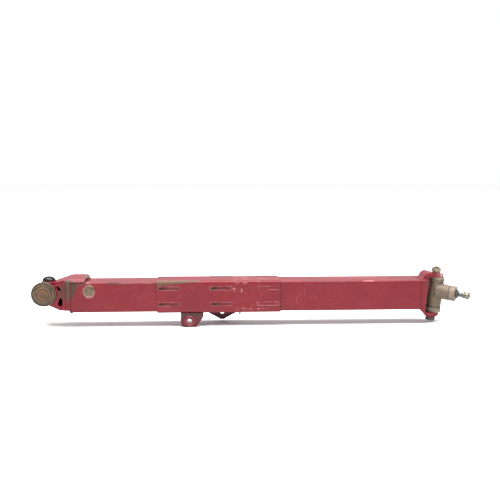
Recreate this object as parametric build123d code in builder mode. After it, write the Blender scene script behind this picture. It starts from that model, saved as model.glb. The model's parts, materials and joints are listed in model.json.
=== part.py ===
from build123d import *
import os
from math import cos, radians, sin

# Telescopic hydraulic strut of square tube, in millimetres, +Z up. The pieces are drawn about the
# tube axis: X along the tubes, X = 0 at the middle of the guide sleeve. At the end everything is moved
# so that the origin lies on the ground under the middle of the whole strut.

# Square tubes and the sleeve that joins them
TUBE_SIDE = 83.0
TUBE_WALL = 4.0
TUBE_CORNER = 4.6
INNER_SIDE = 82.4
INNER_WALL = 4.0
SLEEVE_SIDE = 89.0
SLEEVE_HALF = 168.0
OUTER_START = 104.0
OUTER_END = 560.0
INNER_START = -401.0
INNER_END = 98.0
STAGE_STROKE = 80.0

# Windows in the sleeve
WINDOW_LENGTH = 58.0
WINDOW_HEIGHT = 7.5
PAD_STATIONS = (-136.0, 6.0)
WELD_STATION = 135.0
SIDE_ROWS = (24.0, -19.5)
TOP_ROW = 27.0
PAD_SUNK = 0.7
WELD_PROUD = 0.6

# Lugs under the sleeve
LUG_PLATE = 8.0
LUG_HOLE = 6.5
LINKAGE_LUG_X = -79.5
LINKAGE_LUG_Z = -66.5
LUG_BOTTOM = -83.5
LUG_BUSH_SPIGOT = 9.5
LUG_BUSH_FLANGE = 15.0
LUG_BUSH_LIP = 3.0
STAY_LUG_X = 12.0
STAY_LUG_Z = -57.5
STAY_TIP = -79.0

# King pin and yoke: the pin leans a little away from upright
PIN_X = 605.7
PIN_Z = -4.0
PIN_LEAN = 5.9
PIN_R = 8.0
RUNNING = 0.05
WASHER_GAP = 0.15
EAR_R = 21.5
UPPER_EAR = (48.8, 60.0)
LOWER_EAR = (-66.5, -49.8)
PIN_HEAD = 8.0
FLANK_TOP_X = 582.0
FLANK_TIP = (573.0, -54.5)
CORE_FACE = 583.2
CORE_FOOT_X = 577.0
CORE_WIDTH = 56.0
SADDLE_WIDTH = 60.0
LOWER_EAR_WIDTH = 76.0
GALLERY_R = 2.0
GALLERY_X = 579.0
GALLERY_PIN_HEIGHT = 54.0
GALLERY_PLUG_R = 3.5
GALLERY_PLUG_START = 16.5
GALLERY_PLUG_LENGTH = 4.0

# Swivel block and its branch: the casting is fatter on the branch side, so it is not central on the pin
BLOCK_R = 21.0
BLOCK_OFFSET = 3.9
BLOCK_BOTTOM = -39.0
BLOCK_TOP = 38.0
BUSH_R = 11.0
BUSH_LENGTH = 16.0
BRANCH_TURN = -30.0
BRANCH_HEIGHT = 10.0
BRANCH_R = 21.5
BRANCH_BORE = 14.0
SPINDLE_R = 8.0
COLLAR_FACE = 63.0

# Hydraulic stages inside the tubes
BARREL_R = 31.0
BARREL_BORE = 26.0
STAGE_R = 22.5
STAGE_BORE = 17.5
PLUNGER_R = 15.0
RING_LENGTH = 20.0
SEAL_WIDTH = 4.0

# Eye head on the sliding tube
HUB_X = -472.3
HUB_Z = 11.0
HUB_R = 33.5
EYE_R = 28.0
EYE_HALF = 37.0
SHAFT_R = 17.0
SPIGOT_R = 22.0
BUSH_OUTER = 19.0
CHEEK_PLATE = 8.0
END_PLATE = 12.0
STRAP = 11.5
HEAD_FLOOR = -36.8
DOME_R = 18.0
DOME_BASE_Z = 40.0

lean = radians(PIN_LEAN)
PIN = Plane(
    origin=(PIN_X, 0, PIN_Z),
    x_dir=(cos(lean), 0, -sin(lean)),
    z_dir=(sin(lean), 0, cos(lean)),
)
turn = radians(BRANCH_TURN)
branch_direction = PIN.x_dir * cos(turn) + PIN.y_dir * sin(turn)
BRANCH = Plane(origin=PIN.offset(BRANCH_HEIGHT).origin, x_dir=PIN.z_dir, z_dir=branch_direction)
BLOCK = Plane(origin=PIN.origin + PIN.x_dir * BLOCK_OFFSET, x_dir=PIN.x_dir, z_dir=PIN.z_dir)
AXIS = Plane.YZ
HUB = Plane(origin=(HUB_X, 0, HUB_Z), x_dir=(1, 0, 0), z_dir=(0, -1, 0))

pieces = {}


def keep(name, part):
    """Label a finished piece and remember it for export."""
    part.label = name
    pieces[name] = part


def turned(plane, *profile):
    """A solid turned about the plane's normal from (height, radius) points."""
    lathe = Plane(origin=plane.origin, x_dir=plane.z_dir, z_dir=plane.y_dir)
    with BuildPart() as solid:
        with BuildSketch(lathe):
            with BuildLine():
                Polyline(*profile, close=True)
            make_face()
        revolve(axis=Axis(plane.origin, plane.z_dir))
    return solid.part


def ring(plane, start, end, inner, outer, bevel=0.0):
    """A plain ring with bevelled outer edges."""
    return turned(
        plane,
        (start, inner),
        (start, outer - bevel),
        (start + bevel, outer),
        (end - bevel, outer),
        (end, outer - bevel),
        (end, inner),
    ) if bevel else turned(plane, (start, inner), (start, outer), (end, outer), (end, inner))


def hexagon(plane, start, end, across_flats, bore):
    """A hexagon bar with turned-down corners and a round bore."""
    corner = across_flats / 2 / cos(radians(30))
    with BuildPart() as bar:
        with BuildSketch(plane.offset(start)):
            RegularPolygon(corner, 6)
            if bore:
                Circle(bore, mode=Mode.SUBTRACT)
        extrude(amount=end - start)
        edge = across_flats / 2
        drop = (corner - edge) * 0.6
        add(
            turned(
                plane,
                (start, 0),
                (start, edge),
                (start + drop, corner + 0.1),
                (end - drop, corner + 0.1),
                (end, edge),
                (end, 0),
            ),
            mode=Mode.INTERSECT,
        )
    return bar.part


def square_tube(start, end, side, wall):
    """A length of square tube about the X axis."""
    with BuildPart() as tube:
        with BuildSketch(AXIS.offset(start)):
            RectangleRounded(side, side, TUBE_CORNER)
            RectangleRounded(side - 2 * wall, side - 2 * wall, TUBE_CORNER - wall, mode=Mode.SUBTRACT)
        extrude(amount=end - start)
    return tube.part


def side_plane(face):
    """The outside of one sleeve wall, its normal pointing outwards."""
    half = SLEEVE_SIDE / 2
    return {
        "front": Plane.XZ.offset(half),
        "back": Plane(origin=(0, half, 0), x_dir=(-1, 0, 0), z_dir=(0, 1, 0)),
        "top": Plane.XY.offset(half),
        "bottom": Plane(origin=(0, 0, -half), x_dir=(1, 0, 0), z_dir=(0, 0, -1)),
    }[face]


def slot_places(face, stations):
    """Centres of the slots on one wall, in that wall's own plane."""
    rows = {"front": SIDE_ROWS, "back": SIDE_ROWS, "top": (TOP_ROW,), "bottom": (-TOP_ROW,)}[face]
    flip = -1 if face == "back" else 1
    return [(flip * x, row) for x in stations for row in rows]


def slot_fill(face, stations, outside, inside, trim=0.0):
    """Slot-shaped solids through one wall, from outside to inside of its surface."""
    with BuildPart() as fill:
        with BuildSketch(side_plane(face).offset(outside)):
            with Locations(*slot_places(face, stations)):
                SlotOverall(WINDOW_LENGTH - trim, WINDOW_HEIGHT - trim)
        extrude(amount=inside - outside)
    return fill.part


# ---- Body "base": outer tube, sleeve, lugs, yoke, king pin and barrel ----

with BuildPart() as outer_tube:
    add(square_tube(OUTER_START, OUTER_END, TUBE_SIDE, TUBE_WALL))
keep("outer_tube", outer_tube.part)

SLEEVE_WALL = (SLEEVE_SIDE - TUBE_SIDE) / 2
FACES = ("front", "back", "top", "bottom")

with BuildPart() as guide_sleeve:
    with BuildSketch(AXIS.offset(-SLEEVE_HALF)):
        RectangleRounded(SLEEVE_SIDE, SLEEVE_SIDE, TUBE_CORNER + SLEEVE_WALL)
        RectangleRounded(TUBE_SIDE, TUBE_SIDE, TUBE_CORNER, mode=Mode.SUBTRACT)
    extrude(amount=2 * SLEEVE_HALF)
    for face in FACES:
        add(slot_fill(face, (*PAD_STATIONS, WELD_STATION), 1, -SLEEVE_WALL - 1), mode=Mode.SUBTRACT)
keep("guide_sleeve", guide_sleeve.part)

for face in FACES:
    with BuildPart() as guide_pads:
        add(slot_fill(face, PAD_STATIONS, -PAD_SUNK, -SLEEVE_WALL))
    keep(f"guide_pads_{face}", guide_pads.part)

with BuildPart() as plug_welds:
    for face in FACES:
        add(slot_fill(face, (WELD_STATION,), WELD_PROUD, -SLEEVE_WALL))
keep("plug_welds", plug_welds.part)

SLEEVE_BOTTOM = -SLEEVE_SIDE / 2

# The linkage lug is a plate under the front wall, with a flanged bush pressed through it
lug_front = Plane.XZ.offset(SLEEVE_SIDE / 2)
lug_axis = Plane(origin=(LINKAGE_LUG_X, 0, LINKAGE_LUG_Z), x_dir=(1, 0, 0), z_dir=(0, -1, 0))
with BuildPart() as linkage_lug:
    with BuildSketch(lug_front) as lug_outline:
        with BuildLine():
            Polyline(
                (-104, SLEEVE_BOTTOM),
                (-104, LUG_BOTTOM),
                (-61, LUG_BOTTOM),
                (-41, -53.5),
                (-41, SLEEVE_BOTTOM),
                close=True,
            )
        make_face()
        fillet(lug_outline.vertices().group_by(Axis.Y)[0], radius=14)
        with Locations((LINKAGE_LUG_X, LINKAGE_LUG_Z)):
            Circle(LUG_BUSH_SPIGOT, mode=Mode.SUBTRACT)
    extrude(amount=-LUG_PLATE)
keep("linkage_lug", linkage_lug.part)

LUG_FRONT_Y = SLEEVE_SIDE / 2
with BuildPart() as lug_bush:
    add(
        turned(
            lug_axis,
            (LUG_FRONT_Y - LUG_PLATE - 2, LUG_HOLE),
            (LUG_FRONT_Y - LUG_PLATE - 2, LUG_BUSH_SPIGOT),
            (LUG_FRONT_Y, LUG_BUSH_SPIGOT),
            (LUG_FRONT_Y, LUG_BUSH_FLANGE),
            (LUG_FRONT_Y + LUG_BUSH_LIP - 1.5, LUG_BUSH_FLANGE),
            (LUG_FRONT_Y + LUG_BUSH_LIP, LUG_BUSH_FLANGE - 1.5),
            (LUG_FRONT_Y + LUG_BUSH_LIP, LUG_HOLE + 4),
            (LUG_FRONT_Y + LUG_BUSH_LIP - 1, LUG_HOLE + 3),
            (LUG_FRONT_Y + LUG_BUSH_LIP - 1, LUG_HOLE),
        )
    )
keep("lug_bush", lug_bush.part)

# The stay lug is a shallow V plate under the back wall
with BuildPart() as stay_lug:
    with BuildSketch(Plane.XZ.offset(-SLEEVE_SIDE / 2)):
        with BuildLine():
            Polyline(
                (STAY_LUG_X - 69, SLEEVE_BOTTOM),
                (STAY_LUG_X - 4.5, STAY_TIP),
                (STAY_LUG_X + 4.5, STAY_TIP),
                (STAY_LUG_X + 69, SLEEVE_BOTTOM),
                close=True,
            )
        make_face()
        with Locations((STAY_LUG_X, STAY_LUG_Z)):
            Circle(LUG_HOLE, mode=Mode.SUBTRACT)
    extrude(amount=LUG_PLATE)
keep("stay_lug", stay_lug.part)

NIPPLE = Plane(origin=(59, -22, SLEEVE_BOTTOM), x_dir=(1, 0, 0), z_dir=(0, 0, -1))
with BuildPart() as sleeve_grease_nipple:
    add(hexagon(NIPPLE, 0, 3.5, 8, 0))
    add(turned(NIPPLE, (3.5, 0), (3.5, 2.6), (6, 2.2), (7.2, 2.9), (9, 2.9), (10.2, 1.6), (10.2, 0)))
keep("sleeve_grease_nipple", sleeve_grease_nipple.part)

# The yoke: a web across the tube end, a saddle and two ears square to the leaning pin
HALF = TUBE_SIDE / 2
CHAMFER_RUN = 24.0


def ear(span, width, reach, outside, break_edge):
    """A plate square to the pin, round about it, with its outside edge (Axis.Z order 0 or -1) chamfered."""
    with BuildPart() as plate:
        with BuildSketch(PIN.offset(span[0])):
            with BuildLine():
                CenterArc((0, 0), EAR_R, 0, 360)
                Line((-reach, -width / 2), (-reach, width / 2))
            make_hull()
        extrude(amount=span[1] - span[0])
        round_end = plate.edges().filter_by(GeomType.CIRCLE).sort_by(Axis.Z)[outside]
        chamfer(round_end, length=break_edge)
    return plate.part


def slab(width, *outline):
    """A side-view outline given as (X, Z) points, extruded to a width across the tube."""
    with BuildPart() as solid:
        with BuildSketch(Plane.XZ.offset(width / 2)):
            with BuildLine():
                Polyline(*outline, close=True)
            make_face()
        extrude(amount=-width)
    return solid.part


with BuildPart() as base_yoke:
    add(slab(TUBE_SIDE, (OUTER_END, -HALF), (OUTER_END, HALF), (FLANK_TOP_X, HALF), FLANK_TIP))
    fillet(base_yoke.edges().filter_by(Axis.X).group_by(Axis.Z)[-1], radius=TUBE_CORNER - 0.1)
    add(
        slab(
            CORE_WIDTH,
            (OUTER_END, -HALF),
            (OUTER_END, HALF),
            (CORE_FACE, HALF + 8),
            (CORE_FACE, 4),
            (CORE_FOOT_X, -50),
            (CORE_FOOT_X, -58),
        )
    )
    add(
        slab(
            SADDLE_WIDTH,
            (567, HALF - 1),
            (571, 51),
            (576, 57),
            (582, 59.5),
            (592, 59),
            (587, 46),
            (582, HALF - 1),
        )
    )
    fillet(base_yoke.edges().filter_by(Axis.Y).group_by(Axis.Z)[-1].sort_by(Axis.X)[0], radius=4)
    add(ear(UPPER_EAR, SADDLE_WIDTH - 4, 25, -1, 2))
    add(ear(LOWER_EAR, LOWER_EAR_WIDTH, 36, 0, 9))
    # A flat at 45 degrees runs from the tube's lower edge to the underside of the lower ear
    low_x, low_z = OUTER_END + CHAMFER_RUN, -HALF - CHAMFER_RUN
    with BuildSketch(Plane.XZ.offset(TUBE_SIDE)):
        with BuildLine():
            Polyline(
                (low_x, low_z),
                (OUTER_END, -HALF),
                (OUTER_END - 30, -HALF),
                (OUTER_END - 30, low_z - 30),
                (low_x, low_z - 30),
                close=True,
            )
        make_face()
    extrude(amount=-2 * TUBE_SIDE, mode=Mode.SUBTRACT)
    with BuildSketch(PIN.offset(LOWER_EAR[0] - 1)):
        Circle(PIN_R)
    extrude(amount=UPPER_EAR[1] - LOWER_EAR[0] + 2, mode=Mode.SUBTRACT)
    # Oil gallery: in from the barrel, up the web, and along the upper ear to the pin. The ear's hole is
    # drilled from its tip, across the pin bore, and the tip is plugged.
    with BuildSketch(AXIS.offset(OUTER_END)):
        Circle(GALLERY_R)
    extrude(amount=GALLERY_X - OUTER_END, mode=Mode.SUBTRACT)
    gallery = PIN.offset(GALLERY_PIN_HEIGHT)
    along_ear = Plane(origin=gallery.origin, x_dir=gallery.y_dir, z_dir=gallery.x_dir)
    reach = (gallery.origin.X - GALLERY_X) / cos(lean)
    with BuildSketch(Plane.XY):
        with Locations((GALLERY_X, 0)):
            Circle(GALLERY_R)
    extrude(amount=gallery.origin.Z + reach * sin(lean), mode=Mode.SUBTRACT)
    with BuildSketch(along_ear.offset(-reach)):
        Circle(GALLERY_R)
    extrude(amount=reach + EAR_R + 1, mode=Mode.SUBTRACT)
    with BuildSketch(along_ear.offset(GALLERY_PLUG_START)):
        Circle(GALLERY_PLUG_R)
    extrude(amount=EAR_R, mode=Mode.SUBTRACT)
keep("base_yoke", base_yoke.part)

with BuildPart() as gallery_plug:
    with BuildSketch(along_ear.offset(GALLERY_PLUG_START)):
        Circle(GALLERY_PLUG_R)
    extrude(amount=GALLERY_PLUG_LENGTH)
    with BuildSketch(along_ear.offset(GALLERY_PLUG_START + GALLERY_PLUG_LENGTH)):
        RegularPolygon(1.8, 6)
    extrude(amount=-2.5, mode=Mode.SUBTRACT)
keep("gallery_plug", gallery_plug.part)

# King pin: a drilled bolt, head below, with oil grooves at the upper ear and inside the block
HEAD_BOTTOM = LOWER_EAR[0] - PIN_HEAD
PIN_TOP = 78.0
GROOVE = 1.2
OIL_GROOVES = ((BRANCH_HEIGHT, 4.0), (GALLERY_PIN_HEIGHT, 3.0))
with BuildPart() as king_pin:
    add(hexagon(PIN, HEAD_BOTTOM, LOWER_EAR[0], 24, 0))
    add(
        turned(
            PIN,
            (LOWER_EAR[0], 0),
            (LOWER_EAR[0], PIN_R),
            (UPPER_EAR[1], PIN_R),
            (UPPER_EAR[1], PIN_R - 1),
            (PIN_TOP - 1.5, PIN_R - 1),
            (PIN_TOP, PIN_R - 2.5),
            (PIN_TOP, 0),
        )
    )
    for height, half in OIL_GROOVES:
        add(ring(PIN, height - half, height + half, PIN_R - GROOVE, PIN_R + 1), mode=Mode.SUBTRACT)
    with BuildSketch(PIN.offset(BRANCH_HEIGHT)):
        Circle(GALLERY_R)
    extrude(amount=GALLERY_PIN_HEIGHT - BRANCH_HEIGHT, mode=Mode.SUBTRACT)
    for height, half in OIL_GROOVES:
        cross = PIN.offset(height)
        with BuildSketch(Plane(origin=cross.origin, x_dir=cross.y_dir, z_dir=cross.x_dir)):
            Circle(GALLERY_R - 0.5)
        extrude(amount=PIN_R + 1, both=True, mode=Mode.SUBTRACT)
keep("king_pin", king_pin.part)

NUT_START = 64.0
with BuildPart() as king_pin_washer:
    add(ring(PIN, UPPER_EAR[1], NUT_START, PIN_R - 1, 11.0, 0.8))
keep("king_pin_washer", king_pin_washer.part)

with BuildPart() as king_pin_nut:
    add(hexagon(PIN, NUT_START, NUT_START + 10, 24, PIN_R - 1))
keep("king_pin_nut", king_pin_nut.part)

# Barrel of the cylinder, closed at the yoke end and held central in the outer tube
BASE_FLANGE = 14.0
BASE_SIDE = TUBE_SIDE - 2 * TUBE_WALL - 1
SPIGOT = 14.0
BARREL_END = OUTER_END - BASE_FLANGE
SPIGOT_END = BARREL_END - SPIGOT
STAGE_END = SPIGOT_END - 4
STAGE_RING_START = STAGE_END - 4 - RING_LENGTH
BARREL_GLAND_END = STAGE_RING_START - STAGE_STROKE
BARREL_START = BARREL_GLAND_END - RING_LENGTH
BARREL_GLAND_START = BARREL_START - 12

with BuildPart() as barrel_base:
    with BuildSketch(AXIS.offset(BARREL_END)):
        RectangleRounded(BASE_SIDE, BASE_SIDE, 4)
    extrude(amount=BASE_FLANGE)
    add(
        turned(
            AXIS,
            (SPIGOT_END, 0),
            (SPIGOT_END, BARREL_BORE),
            (SPIGOT_END + 5, BARREL_BORE),
            (SPIGOT_END + 5, BARREL_BORE - 3),
            (SPIGOT_END + 5 + SEAL_WIDTH, BARREL_BORE - 3),
            (SPIGOT_END + 5 + SEAL_WIDTH, BARREL_BORE),
            (BARREL_END, BARREL_BORE),
            (BARREL_END, 0),
        )
    )
    with BuildSketch(AXIS.offset(SPIGOT_END)):
        Circle(GALLERY_R)
    extrude(amount=SPIGOT + BASE_FLANGE, mode=Mode.SUBTRACT)
keep("barrel_base", barrel_base.part)

with BuildPart() as barrel_base_seal:
    add(ring(AXIS, SPIGOT_END + 5, SPIGOT_END + 5 + SEAL_WIDTH, BARREL_BORE - 3, BARREL_BORE))
keep("barrel_base_seal", barrel_base_seal.part)

with BuildPart() as barrel_tube:
    add(ring(AXIS, BARREL_START, BARREL_END, BARREL_BORE, BARREL_R))
keep("barrel_tube", barrel_tube.part)


def gland(start, shoulder, end, flange, spigot, bore):
    """A screwed gland with an inner groove for the rod seal and one for the wiper."""
    seal = end - 9
    return turned(
        AXIS,
        (start, bore + 3),
        (start, flange - 1),
        (start + 1, flange),
        (shoulder, flange),
        (shoulder, spigot),
        (end, spigot),
        (end, bore),
        (seal + SEAL_WIDTH, bore),
        (seal + SEAL_WIDTH, bore + 2.5),
        (seal, bore + 2.5),
        (seal, bore),
        (start + 5, bore),
        (start + 5, bore + 3),
    )


def gland_seal(end, bore):
    return ring(AXIS, end - 9, end - 9 + SEAL_WIDTH, bore, bore + 2.5)


def gland_wiper(start, bore):
    return turned(AXIS, (start - 2, bore), (start - 2, bore + 1), (start, bore + 3), (start + 5, bore + 3),
                  (start + 5, bore))


STAGE_RUN = STAGE_R + RUNNING
with BuildPart() as barrel_gland:
    add(gland(BARREL_GLAND_START, BARREL_START, BARREL_GLAND_END, BARREL_R, BARREL_BORE, STAGE_RUN))
keep("barrel_gland", barrel_gland.part)

with BuildPart() as barrel_gland_seal:
    add(gland_seal(BARREL_GLAND_END, STAGE_RUN))
keep("barrel_gland_seal", barrel_gland_seal.part)

with BuildPart() as barrel_wiper:
    add(gland_wiper(BARREL_GLAND_START, STAGE_RUN))
keep("barrel_wiper", barrel_wiper.part)

SPACER_R = TUBE_SIDE / 2 - TUBE_WALL - 0.2
with BuildPart() as barrel_spacers:
    for start in (BARREL_START + 6, BARREL_END - 40):
        add(ring(AXIS, start, start + 12, BARREL_R, SPACER_R, 1))
keep("barrel_spacers", barrel_spacers.part)

# ---- Body "stage": the middle stage that slides in the barrel ----

STAGE_GLAND_END = BARREL_GLAND_START - 4 + RING_LENGTH - 10
STAGE_START = STAGE_GLAND_END - RING_LENGTH
STAGE_GLAND_START = STAGE_START - 12
PLUNGER_RING_START = STAGE_GLAND_END + STAGE_STROKE
PLUNGER_END = PLUNGER_RING_START + RING_LENGTH + 4

with BuildPart() as stage_tube:
    add(ring(AXIS, STAGE_START, STAGE_END, STAGE_BORE, STAGE_R))
keep("stage_tube", stage_tube.part)


def piston_ring(start, inner, outer):
    """A bearing ring with a groove for its seal."""
    groove = start + (RING_LENGTH - SEAL_WIDTH) / 2
    depth = min(2.0, (outer - inner) / 2)
    return turned(
        AXIS,
        (start, inner),
        (start, outer),
        (groove, outer),
        (groove, outer - depth),
        (groove + SEAL_WIDTH, outer - depth),
        (groove + SEAL_WIDTH, outer),
        (start + RING_LENGTH, outer),
        (start + RING_LENGTH, inner),
    )


def piston_seal(start, inner, outer):
    groove = start + (RING_LENGTH - SEAL_WIDTH) / 2
    depth = min(2.0, (outer - inner) / 2)
    return ring(AXIS, groove, groove + SEAL_WIDTH, outer - depth, outer)


STAGE_RING_R = BARREL_BORE - RUNNING
with BuildPart() as stage_bearing_ring:
    add(piston_ring(STAGE_RING_START, STAGE_R, STAGE_RING_R))
keep("stage_bearing_ring", stage_bearing_ring.part)

with BuildPart() as stage_seal:
    add(piston_seal(STAGE_RING_START, STAGE_R, STAGE_RING_R))
keep("stage_seal", stage_seal.part)

PLUNGER_RUN = PLUNGER_R + RUNNING
with BuildPart() as stage_gland:
    add(
        turned(
            AXIS,
            (STAGE_GLAND_START, PLUNGER_RUN + 3),
            (STAGE_GLAND_START, STAGE_R - 1),
            (STAGE_GLAND_START + 1, STAGE_R),
            (STAGE_START, STAGE_R),
            (STAGE_START, STAGE_BORE),
            (STAGE_GLAND_END, STAGE_BORE),
            (STAGE_GLAND_END, PLUNGER_RUN),
            (STAGE_GLAND_START + 5, PLUNGER_RUN),
            (STAGE_GLAND_START + 5, PLUNGER_RUN + 3),
        )
    )
keep("stage_gland", stage_gland.part)

with BuildPart() as stage_wiper:
    add(gland_wiper(STAGE_GLAND_START, PLUNGER_RUN))
keep("stage_wiper", stage_wiper.part)

# ---- Body "rod": plunger, sliding tube and the eye head welded to it ----

with BuildPart() as inner_tube:
    add(square_tube(INNER_START, INNER_END, INNER_SIDE, INNER_WALL))
keep("inner_tube", inner_tube.part)

PLUNGER_NECK = 2.0
PLUNGER_SEAT = PLUNGER_R - PLUNGER_NECK
BOLT_R = 8.0
BOLT_DEPTH = 45.0
with BuildPart() as plunger:
    add(
        turned(
            AXIS,
            (INNER_START, BOLT_R),
            (INNER_START, PLUNGER_R - 1),
            (INNER_START + 1, PLUNGER_R),
            (PLUNGER_RING_START, PLUNGER_R),
            (PLUNGER_RING_START, PLUNGER_SEAT),
            (PLUNGER_END, PLUNGER_SEAT),
            (PLUNGER_END, 0),
            (INNER_START + BOLT_DEPTH, 0),
            (INNER_START + BOLT_DEPTH, BOLT_R),
        )
    )
keep("plunger", plunger.part)

PLUNGER_RING_R = STAGE_BORE - RUNNING
with BuildPart() as plunger_bearing_ring:
    add(piston_ring(PLUNGER_RING_START, PLUNGER_SEAT, PLUNGER_RING_R))
keep("plunger_bearing_ring", plunger_bearing_ring.part)

with BuildPart() as plunger_seal:
    add(piston_seal(PLUNGER_RING_START, PLUNGER_SEAT, PLUNGER_RING_R))
keep("plunger_seal", plunger_seal.part)

with BuildPart() as plunger_spacers:
    for start in (-330.0, -130.0, 70.0):
        add(ring(AXIS, start, start + 14, PLUNGER_R, INNER_SIDE / 2 - INNER_WALL - 0.2, 1))
keep("plunger_spacers", plunger_spacers.part)

END_PLATE_START = INNER_START - END_PLATE
with BuildPart() as head_end_plate:
    with BuildSketch(AXIS.offset(END_PLATE_START)):
        with Locations((0, (INNER_SIDE / 2 + HEAD_FLOOR) / 2)):
            RectangleRounded(INNER_SIDE, INNER_SIDE / 2 - HEAD_FLOOR, TUBE_CORNER)
        Circle(BOLT_R, mode=Mode.SUBTRACT)
    extrude(amount=END_PLATE)
keep("head_end_plate", head_end_plate.part)

with BuildPart() as plunger_bolt:
    add(hexagon(AXIS, END_PLATE_START - 10, END_PLATE_START, 24, 0))
    with BuildSketch(AXIS.offset(END_PLATE_START)):
        Circle(BOLT_R)
    extrude(amount=END_PLATE + BOLT_DEPTH - 4)
keep("plunger_bolt", plunger_bolt.part)

# Top strap: flat on the tube, then down and in to a rounded tip over the eye
TOP = INNER_SIDE / 2
STRAP_END_X = -356.0
STRAP_SKEW = 6.0
STRAP_BEVEL = (13.0, 9.0)
TIP_X = HUB_X - 11
TIP_Z = 31.2
with BuildPart() as head_top_strap:
    with BuildSketch(Plane.XZ.offset(TOP)):
        with BuildLine():
            Polyline(
                (STRAP_END_X, TOP),
                (STRAP_END_X, TOP + STRAP - 5),
                (STRAP_END_X - 5, TOP + STRAP),
                (INNER_START - 2, TOP + STRAP),
                (HUB_X + 27, DOME_BASE_Z),
                (TIP_X, DOME_BASE_Z),
                (TIP_X, TIP_Z),
                (HUB_X + 22, TIP_Z),
                (END_PLATE_START, TOP),
                close=True,
            )
        make_face()
    extrude(amount=-2 * TOP)
    with BuildSketch(Plane.XY) as strap_plan:
        with BuildLine():
            Polyline(
                (STRAP_END_X - STRAP_SKEW, -TOP),
                (INNER_START - 4, -TOP),
                (HUB_X, -20),
                (TIP_X, -20),
                (TIP_X, 20),
                (HUB_X, 20),
                (INNER_START - 4, TOP),
                (STRAP_END_X, TOP),
                close=True,
            )
        make_face()
        fillet(strap_plan.vertices().group_by(Axis.X)[0], radius=10)
    extrude(amount=80, mode=Mode.INTERSECT)
    with BuildSketch(AXIS.offset(TIP_X)):
        with BuildLine():
            Polyline(
                (-TOP, 0),
                (-TOP, TOP + STRAP - STRAP_BEVEL[1]),
                (-TOP + STRAP_BEVEL[0], TOP + STRAP),
                (TOP, TOP + STRAP),
                (TOP, 0),
                close=True,
            )
        make_face()
    extrude(amount=STRAP_END_X - TIP_X, mode=Mode.INTERSECT)
keep("head_top_strap", head_top_strap.part)

# Bottom strap: from the tube's lower edge up to the eye
BOTTOM_STRAP = 7.0
with BuildPart() as head_bottom_strap:
    with BuildSketch(Plane.XZ.offset(TOP)):
        with BuildLine():
            Polyline(
                (END_PLATE_START, HEAD_FLOOR),
                (END_PLATE_START, HEAD_FLOOR + BOTTOM_STRAP),
                (-437, HEAD_FLOOR + 11),
                (HUB_X + 8, -16),
                (HUB_X + 8, -23),
                (-431, HEAD_FLOOR + 1),
                close=True,
            )
        make_face()
    extrude(amount=-2 * TOP)
    with BuildSketch(Plane.XY.offset(-60)):
        with BuildLine():
            Polyline(
                (END_PLATE_START, -TOP),
                (HUB_X + 8, -26),
                (HUB_X + 8, 26),
                (END_PLATE_START, TOP),
                close=True,
            )
        make_face()
    extrude(amount=60, mode=Mode.INTERSECT)
keep("head_bottom_strap", head_bottom_strap.part)

# Cheeks: plates between the straps, each with two windows, rounded onto the eye
CHEEK_OUT = 36.0


def cheek(side):
    """One cheek plate, from the end plate to the eye; side is -1 at the front and +1 at the back."""
    with BuildPart() as plate:
        with BuildSketch(Plane.XZ.offset(CHEEK_OUT if side < 0 else -CHEEK_OUT + CHEEK_PLATE)):
            with BuildLine():
                Polyline(
                    (END_PLATE_START, HEAD_FLOOR + BOTTOM_STRAP),
                    (END_PLATE_START, TOP),
                    (HUB_X + 22, TIP_Z),
                    (HUB_X, TIP_Z),
                    (HUB_X, -17),
                    (HUB_X + 8, -16),
                    (-437, HEAD_FLOOR + 11),
                    close=True,
                )
            make_face()
            with Locations((HUB_X, HUB_Z)):
                Circle(EYE_R, mode=Mode.SUBTRACT)
            with Locations(Location((-433, 24), 128)):
                SlotOverall(15, 5.5, mode=Mode.SUBTRACT)
            with Locations((-429.5, -17)):
                Ellipse(5.8, 7.5, mode=Mode.SUBTRACT)
            with Locations((-428, -10)):
                Ellipse(4.6, 8.2, mode=Mode.SUBTRACT)
        extrude(amount=-CHEEK_PLATE)
    return plate.part


with BuildPart() as head_front_cheek:
    add(cheek(-1))
keep("head_front_cheek", head_front_cheek.part)

with BuildPart() as head_back_cheek:
    add(cheek(1))
keep("head_back_cheek", head_back_cheek.part)

with BuildPart() as head_eye:
    add(ring(HUB, -EYE_HALF, EYE_HALF, BUSH_OUTER, EYE_R, 1))
    with BuildSketch(Plane.XY.offset(TIP_Z)):
        with Locations((HUB_X, 0)):
            Rectangle(100, 100)
    extrude(amount=40, mode=Mode.SUBTRACT)
keep("head_eye", head_eye.part)

with BuildPart() as eye_bush:
    add(ring(HUB, -EYE_HALF, EYE_HALF, SHAFT_R + RUNNING, BUSH_OUTER))
keep("eye_bush", eye_bush.part)

DOME = Plane(origin=(HUB_X + 9, 0, DOME_BASE_Z), x_dir=(1, 0, 0), z_dir=(0, 0, 1))
DOME_HEIGHT = 13.5
DOME_RIM = 2.0
with BuildPart() as grease_cap:
    with BuildSketch(Plane(origin=DOME.origin, x_dir=DOME.z_dir, z_dir=DOME.y_dir)):
        with BuildLine():
            Polyline((DOME_HEIGHT, 0), (0, 0), (0, DOME_R), (DOME_RIM, DOME_R))
            EllipticalCenterArc((DOME_RIM, 0), DOME_HEIGHT - DOME_RIM, DOME_R, arc_size=90)
        make_face()
    revolve(axis=Axis(DOME.origin, DOME.z_dir))
keep("grease_cap", grease_cap.part)

# ---- Body "hub": the stepped hub that turns in the eye ----

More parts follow.
